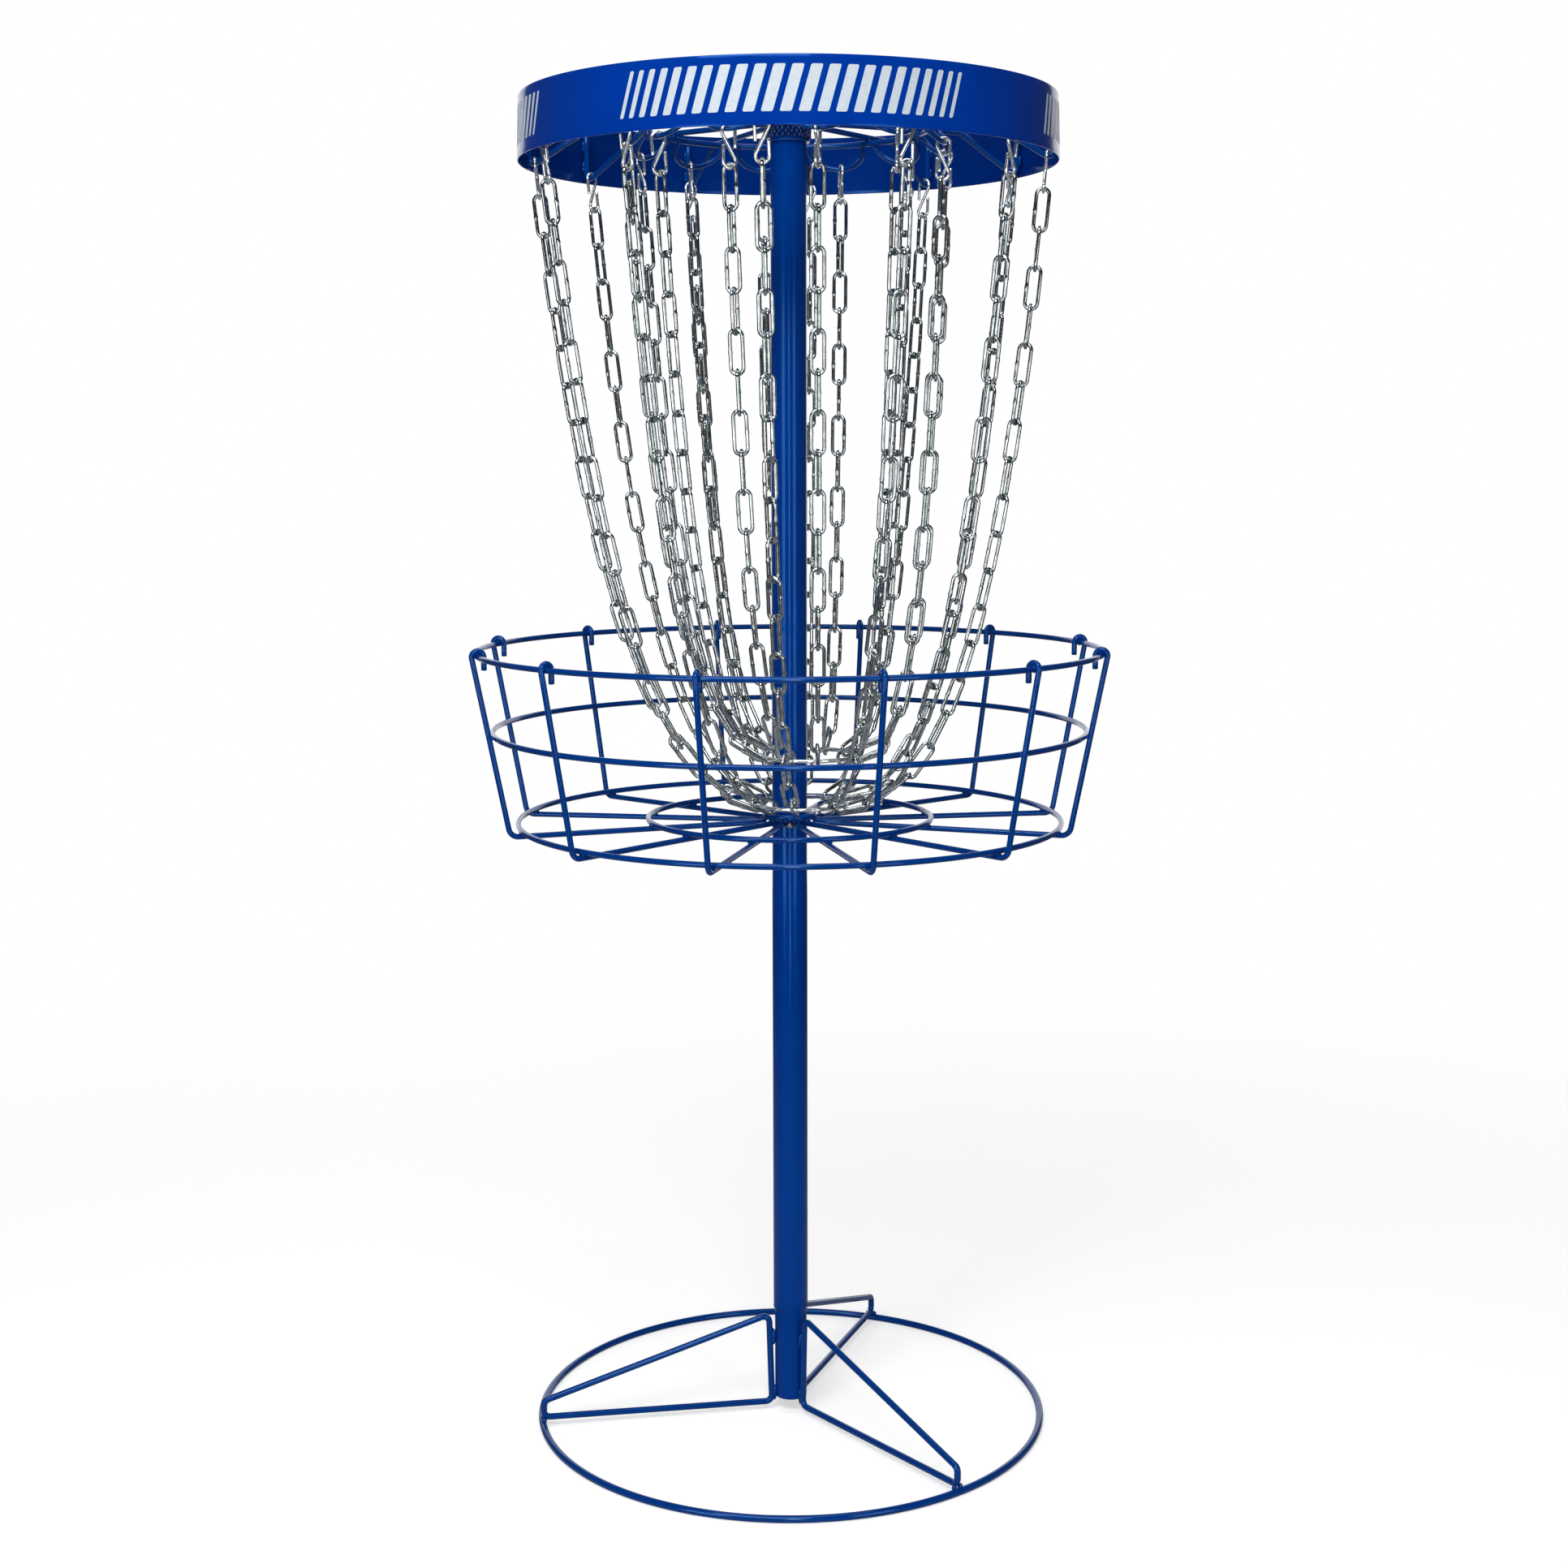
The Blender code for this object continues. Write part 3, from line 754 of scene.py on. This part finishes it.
def add_spokes(shape, welds, hub_radius, rng):
    """Add the twelve spokes, with welds at the band, at the hub and at the hanger ring."""
    valley_height = node_points("top_spider")[:, 2].min() + WIRE
    spoke_height = HANGER["height"] + 2 * WIRE + GAP
    tail = BAND_RADII[1] - SHEET - WIRE - GAP
    path = rounded([(hub_radius - 0.001, spoke_height), (SPOKE_KNEE, spoke_height),
                    (SPOKE_VALLEY, valley_height), (tail, valley_height - 0.0004),
                    (tail, BAND_ENDS[1] - SPOKE_END_DROP)], SPOKE_BEND)
    ring_swing = math.degrees(0.0018 / HANGER["radius"])
    band_bead, hub_bead, ring_bead = (0.0055, 0.0018), (0.0024, 0.0018), (0.0020, 0.0020)
    for number in range(1, STRANDS + 1):
        angle, _ = hang_point(f"outer_chain_{number:02d}")
        shape.add(*tube(upright(path, angle), WIRE, sides=14))
        for turn in (-0.55, 0.55):
            for height in (valley_height + 0.012, valley_height + 0.034):
                bead(welds, polar_point(tail + WIRE * 0.7, height, angle + turn), band_bead, rng)
        bead_pair(welds, hub_radius + 0.0003, spoke_height, angle, 7.0, hub_bead, rng)
        bead_pair(welds, HANGER["radius"], spoke_height - WIRE, angle, ring_swing, ring_bead, rng)


def make_hub_seam(low, hub_radius, rng):
    """The bumpy weld round the hub cap: rows of beads that stay clear of the pole inside."""
    seam = Shape()
    rows, row_pitch, first_row, beads = 4, 0.0034, 0.0055, 24
    for row in range(rows):
        height = low + first_row + row_pitch * row
        for k in range(beads):
            turn = 360 / beads * (k + 0.5 * (row % 2) + rng.uniform(-0.2, 0.2))
            bead(seam, polar_point(hub_radius + 0.0008, height, turn), (0.0024, 0.0021), rng)
    put(seam.build("top_hub_welds", SHADED_WELD_BLUE), "top", "blue_powder_coat")


def make_hanger(welds, rng):
    """The ring under the spokes with its twelve U loops, one for each inner chain."""
    ring = Shape()
    ring.add(*tube(ring_path(HANGER["radius"], HANGER["height"]), WIRE, sides=16, closed=True))
    drop = HANGER["height"] - HANGER["loop_height"]
    steps = 32
    for number in range(1, STRANDS + 1):
        middle, distance = hang_point(f"inner_chain_{number:02d}")
        loop = []
        for step in range(steps + 1):
            turn = math.pi * step / steps
            bulge = math.sin(turn)
            loop.append(polar_point(HANGER["radius"] + (distance - HANGER["radius"]) * bulge,
                                    HANGER["height"] - drop * bulge,
                                    middle + LOOP_HALF_ANGLE_DEGREES * math.cos(turn)))
        ring.add(*tube(loop, LOOP_WIRE, sides=14))
        for end in (loop[0], loop[-1]):
            bead(welds, end + np.array((0, 0, -0.0012)), (0.0034, 0.0032), rng)
    put(ring.build("inner_hanger_ring_fine", SHADED_WIRE_BLUE), "top", "blue_powder_coat", "inner_hanger_ring")


def make_spider():
    """Hub cap with its lip, twelve spokes, hanger ring with its loops, and the welds between them."""
    rng = random.Random(37)
    low, high, outer = hub_facts()
    shape = Shape()
    add_hub(shape, low, high, outer)
    welds = Shape()
    add_spokes(shape, welds, outer, rng)
    lip = 0.0012
    shape.add(*tube(ring_path(outer + 0.0002, low + lip), lip, sides=10, closed=True))
    put(shape.build("top_spider_fine", SHADED_WIRE_BLUE, 60), "top", "blue_powder_coat", "top_spider")
    make_hub_seam(low, outer, rng)
    make_hanger(welds, rng)
    put(welds.build("top_welds", SHADED_WIRE_BLUE), "top", "blue_powder_coat")


# ---- chains ---------------------------------------------------------------------------------------
def hanging_curve(top, bottom, length):
    """Return a function that gives the point at an arc length from the top of a hanging chain."""
    across = np.array(top[:2]) - np.array(bottom[:2])
    span = np.linalg.norm(across)
    rise = top[2] - bottom[2]
    pull = math.sqrt(length ** 2 - rise ** 2)
    low, high = span / 40, 10.0
    for _ in range(80):
        size = math.sqrt(low * high)
        if 2 * size * math.sinh(span / (2 * size)) > pull:
            low = size
        else:
            high = size
    lowest = span / 2 - size * math.atanh(rise / length)

    def point(arc):
        """Return the point at an arc length from the top."""
        along = lowest + size * math.asinh((length - arc) / size - math.sinh(lowest / size))
        height = size * (math.cosh((along - lowest) / size) - math.cosh(lowest / size))
        flat = across / span * along
        return np.array([bottom[0] + flat[0], bottom[1] + flat[1], bottom[2] + height])

    return point


def link_template():
    """Return a chain link in its own frame: long along X, its plane holds Y, with a butt weld."""
    half = LINK_PITCH / 2 + LINK_WIRE - LINK_HALF_WIDTH
    path = []
    radii = []
    bend_steps, side_steps = 12, 12
    weld_swell, weld_length = 0.22, 0.0016
    for sign in (1, -1):
        for step in range(bend_steps):
            turn = math.pi * (step / bend_steps - 0.5)
            path.append((sign * (half + LINK_HALF_WIDTH * math.cos(turn)),
                         sign * LINK_HALF_WIDTH * math.sin(turn), 0.0))
            radii.append(LINK_WIRE)
        for step in range(side_steps):
            share = step / side_steps * 2 - 1
            along = -share * half
            path.append((sign * along, sign * LINK_HALF_WIDTH, 0.0))
            swell = weld_swell * math.exp(-(along / weld_length) ** 2) if sign == 1 else 0.0
            radii.append(LINK_WIRE * (1 + swell))
    return tube(path, radii, sides=12, closed=True)


LINK_VERTS, LINK_FACES = link_template()


def add_link(shape, start, end, normal, rng):
    """Add one link between two contact points with its plane across the given normal."""
    along = unit(end - start)
    flat = unit(normal - along * np.dot(normal, along))
    side = np.cross(flat, along)
    middle = (start + end) / 2
    flip = rng.choice((-1, 1))
    local = LINK_VERTS * np.array((flip, flip, 1.0))
    shape.add(middle + local[:, :1] * along + local[:, 1:2] * side + local[:, 2:] * flat, LINK_FACES)


def hook_path(carrier_wire):
    """Return an S hook as (sideways, downwards) points; zero is the middle of the wire that carries it."""
    top = -(carrier_wire + HOOK_WIRE)
    bottom = HOOK_REACH + HOOK_WIRE
    upper = np.array((0.0, top + HOOK_UPPER_BEND))
    lower = np.array((0.0, bottom - HOOK_LOWER_BEND))
    lean = math.degrees(math.atan2(HOOK_UPPER_BEND + HOOK_LOWER_BEND, lower[1] - upper[1]))
    path = [upper + np.array((HOOK_UPPER_BEND - HOOK_SPLAY, HOOK_TIP))]
    steps = 18
    for step in range(steps + 1):
        turn = math.radians((180 + lean) * step / steps)
        path.append(upper + HOOK_UPPER_BEND * np.array((math.cos(turn), -math.sin(turn))))
    for step in range(steps + 1):
        turn = math.radians(lean - (180 + lean) * step / steps)
        path.append(lower + HOOK_LOWER_BEND * np.array((math.cos(turn), -math.sin(turn))))
    path.append(lower - np.array((HOOK_LOWER_BEND - HOOK_SPLAY, HOOK_TIP)))
    filled = []
    for here, nxt in zip(path, path[1:]):
        pieces = 1 + int(np.linalg.norm(nxt - here) // 0.003)
        filled.extend(here + (nxt - here) * part / pieces for part in range(pieces))
    filled.append(path[-1])
    return filled


def make_strand(tier, number, ring_node, links, carrier_wire, carrier_height, first_turn, total_turn):
    """One chain: its S hook, and its links from the hook to the loose ring; the turns are in degrees."""
    node = f"{tier}_chain_{number:02d}"
    rng = random.Random(100 * links + number)
    angle, distance = hang_point(node)
    centre, ring_height, ring_radius, ring_wire = ring_of(ring_node)
    top = polar_point(distance, carrier_height, angle)
    grip = polar_point(ring_radius - ring_wire, 0.0, angle)
    bottom = np.array([centre[0] + grip[0], centre[1] + grip[1], ring_height])
    point = hanging_curve(top, bottom, HOOK_REACH + links * LINK_PITCH)
    contacts = [point(HOOK_REACH + LINK_PITCH * k) for k in range(links + 1)]
    outward = polar_point(1.0, 0.0, angle)
    tangential = np.cross((0.0, 0.0, 1.0), outward)

    hook = Shape()
    down = unit(contacts[0] - top)
    twist = math.radians(rng.uniform(*HOOK_TWIST_DEGREES[tier])) * rng.choice((-1, 1))
    across = tangential if tier == "outer" else outward
    sideways = across * math.cos(twist) + np.cross(down, across) * math.sin(twist)
    sideways = unit(sideways - down * np.dot(sideways, down)) * rng.choice((-1, 1))
    hook.add(*tube([top + sideways * u + down * v for u, v in hook_path(carrier_wire)], HOOK_WIRE, sides=12))
    put(hook.build(f"{tier}_hook_{number:02d}", LIT_HOOK_ZINC), "top", "zinc")

    chain = Shape()
    drift = rng.uniform(-LINK_DRIFT_DEGREES, LINK_DRIFT_DEGREES)
    for k in range(links):
        share = k / (links - 1)
        wobble = rng.uniform(-LINK_WOBBLE_DEGREES, LINK_WOBBLE_DEGREES) + drift * math.sin(math.pi * share)
        if k in (0, links - 1):
            wobble = 0.0
        turn = math.radians(first_turn + 90 * k + total_turn * share + wobble)
        along = unit(contacts[k + 1] - contacts[k])
        broad = np.cross(along, tangential)
        normal = tangential * math.cos(turn) + broad * math.sin(turn)
        add_link(chain, contacts[k], contacts[k + 1], normal, rng)
    obj = chain.build(node + "_links", CHAIN)
    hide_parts(node)
    end = (0.0, 0.0, max(ring_height, min(p[2] for p in contacts)) + LINK_HALF_WIDTH)
    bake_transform(obj)


def make_loose_ring(tier):
    """The zinc ring that gathers a tier's chains, with its butt weld."""
    node = f"{tier}_chain_ring"
    centre, height, radius, wire = ring_of(node)
    steps = 160
    weld_step, weld_swell, weld_length = 34, 0.20, 0.0022
    radii = []
    for k in range(steps):
        away = (k - weld_step) * math.tau * radius / steps
        radii.append(wire * (1 + weld_swell * math.exp(-(away / weld_length) ** 2)))
    shape = Shape()
    shape.add(*tube(ring_path(radius, height, centre, steps), radii, sides=14, closed=True))
    put(shape.build(node + "_fine", LIT_HOOK_ZINC), f"{tier}_ring", "zinc", node)


def make_chains():
    """Both tiers of chain with their hooks and loose rings."""
    valley_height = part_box("top_spider")[0].z + WIRE
    for number in range(1, STRANDS + 1):
        make_strand("outer", number, "outer_chain_ring", OUTER_LINKS, WIRE, valley_height, 0.0,
                    90.0 if number % 2 else -90.0)
        make_strand("inner", number, "inner_chain_ring", INNER_LINKS, LOOP_WIRE, HANGER["loop_height"],
                    90.0, 0.0)
    make_loose_ring("outer")
    make_loose_ring("inner")


# ---- studio ---------------------------------------------------------------------------------------
def make_camera():
    """Camera at the photographer's place: in front, a little above the basket's rim, looking down."""
    data = bpy.data.cameras.new("camera")
    data.sensor_width = 36.0
    data.lens = CAMERA_LENS
    camera = bpy.data.objects.new("camera", data)
    camera.location = CAMERA_PLACE
    camera.rotation_mode = "XYZ"
    tilt = math.radians(90 - CAMERA_DIP_DEGREES)
    camera.rotation_euler = (tilt, 0.0, 0.0)
    camera.rotation_euler.rotate_axis("Z", math.radians(CAMERA_ROLL_DEGREES))
    bpy.context.scene.collection.objects.link(camera)
    bpy.context.scene.camera = camera


def soft_light(name, place, aim, size, brightness):
    """Add a soft box; a brightness of one looks as bright as white paper in full light."""
    data = bpy.data.lights.new(name, "AREA")
    data.shape = "RECTANGLE"
    data.size, data.size_y = size
    data.energy = brightness * math.pi * size[0] * size[1]
    light = bpy.data.objects.new(name, data)
    light.location = place
    light.rotation_euler = (Vector(aim) - Vector(place)).to_track_quat("-Z", "Y").to_euler()
    light.visible_camera = False
    bpy.context.scene.collection.objects.link(light)


def make_floor():
    """Pale round floor that fades out far from the object."""
    steps = 96
    verts = [(0.0, 0.0, FLOOR_HEIGHT)]
    radii = (1.0, FLOOR_REACH)
    for radius in radii:
        for k in range(steps):
            turn = math.tau * k / steps
            verts.append((radius * math.cos(turn), radius * math.sin(turn), FLOOR_HEIGHT))
    faces = [(0, 1 + k, 1 + (k + 1) % steps) for k in range(steps)]
    faces += [tuple(1 + index for index in face) for face in grid_faces(len(radii), steps)]
    mesh = bpy.data.meshes.new("floor")
    mesh.from_pydata(verts, [], faces)
    material, nodes, links, shader = new_material("pale_floor")
    ray = nodes.new("ShaderNodeLightPath").outputs["Is Camera Ray"]
    links.new(range_node(nodes, links, ray, FLOOR_BOUNCE, FLOOR_WHITE, 0.0, 1.0), shader.inputs["Base Color"])
    links.new(range_node(nodes, links, ray, 0.0, FLOOR_LIFT, 0.0, 1.0), shader.inputs["Emission Strength"])
    shader.inputs["Emission Color"].default_value = (1.0, 1.0, 1.0, 1.0)
    shader.inputs["Roughness"].default_value = 0.9
    shader.inputs["Specular IOR Level"].default_value = 0.0
    place = nodes.new("ShaderNodeTexCoord")
    length = nodes.new("ShaderNodeVectorMath")
    length.operation = "LENGTH"
    links.new(place.outputs["Object"], length.inputs[0])
    fade = range_node(nodes, links, length.outputs["Value"], 1.0, 0.0, FLOOR_FADE_START, FLOOR_REACH - 0.1)
    links.new(fade, shader.inputs["Alpha"])
    mesh.materials.append(material)
    floor = bpy.data.objects.new("floor", mesh)
    bpy.context.scene.collection.objects.link(floor)


def make_world():
    """Bright backdrop behind a studio whose unlit walls are dark, so that metal has something to reflect."""
    world = bpy.data.worlds.new("studio")
    world.use_nodes = True
    bpy.context.scene.world = world
    nodes, links = world.node_tree.nodes, world.node_tree.links
    background = nodes["Background"]
    background.inputs["Color"].default_value = (1.0, 1.0, 1.0, 1.0)
    ray = nodes.new("ShaderNodeLightPath")
    links.new(range_node(nodes, links, ray.outputs["Is Camera Ray"], WALL_LIGHT, 1.0, 0.0, 1.0),
              background.inputs["Strength"])


def make_studio():
    """Camera, floor, world and lights."""
    make_camera()
    make_floor()
    make_world()
    # Each light: its place, the point it faces, its width and height in metres, its brightness.
    soft_light("softbox_left", (-1.50, -2.12, 0.72), (0, 0, 0.72), (0.8, 1.3), 4.3)
    soft_light("softbox_right", (1.45, -2.16, 0.72), (0, 0, 0.72), (0.8, 1.3), 3.2)
    soft_light("strip_front", (0.03, -1.75, 0.70), (0, 0, 0.70), (0.16, 1.2), 6.0)
    soft_light("key_high", (-0.6, -2.4, 2.9), (0, 0, 1.2), (2.2, 1.0), 8.5)
    soft_light("overhead", (0.0, -0.3, 3.0), (0, 0, 0.7), (2.0, 0.8), 3.0)
    soft_light("backdrop", (0.0, 3.0, 1.3), (0, 0, 1.3), (4.4, 2.6), 1.1)
    view = bpy.context.scene.view_settings
    view.view_transform = "Standard"
    view.look = "None"


make_studio()
make_foot()
make_pole()
make_basket()
make_band()
make_band_print()
make_spider()
make_chains()
